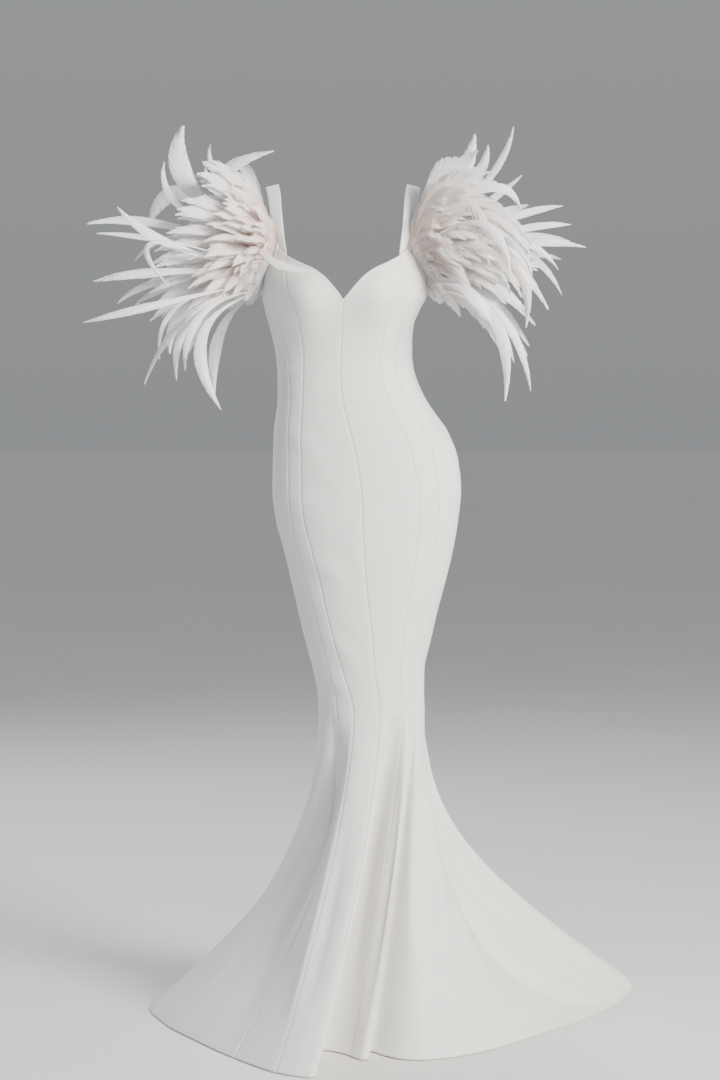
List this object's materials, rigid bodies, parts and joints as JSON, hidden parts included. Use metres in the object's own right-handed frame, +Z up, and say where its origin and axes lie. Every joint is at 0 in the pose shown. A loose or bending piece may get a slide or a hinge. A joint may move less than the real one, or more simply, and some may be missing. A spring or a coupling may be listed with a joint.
{
  "type": "mermaid gown",
  "caption": "Sleeveless mermaid gown of princess gores with wide straps, a sweetheart neckline, a flared train and feather trims round the armholes.",
  "frame": {"origin": "on the shoulder line, midway between the two straps, where the wearer holds the gown up", "axes": "+Z up the gown, -Y out of its front, +X to the wearer's left"},
  "size_m": [1.0516, 1.257, 1.6812],
  "materials": {
    "crepe": "matte heavy crepe, ivory white",
    "strap": "matte heavy crepe folded to a strap, ivory white",
    "feather": "white feather, soft satin, blush near the roots"
  },
  "bodies": {
    "root": {"centre_front_left": "crepe", "inner_front_left": "crepe", "outer_front_left": "crepe", "outer_back_left": "crepe", "inner_back_left": "crepe", "centre_back_left": "crepe", "centre_back_right": "crepe", "inner_back_right": "crepe", "outer_back_right": "crepe", "outer_front_right": "crepe", "inner_front_right": "crepe", "centre_front_right": "crepe", "strap_left": "strap", "strap_right": "strap", "feather_trim_left": "feather", "feather_trim_right": "feather"}
  },
  "joints": []
}
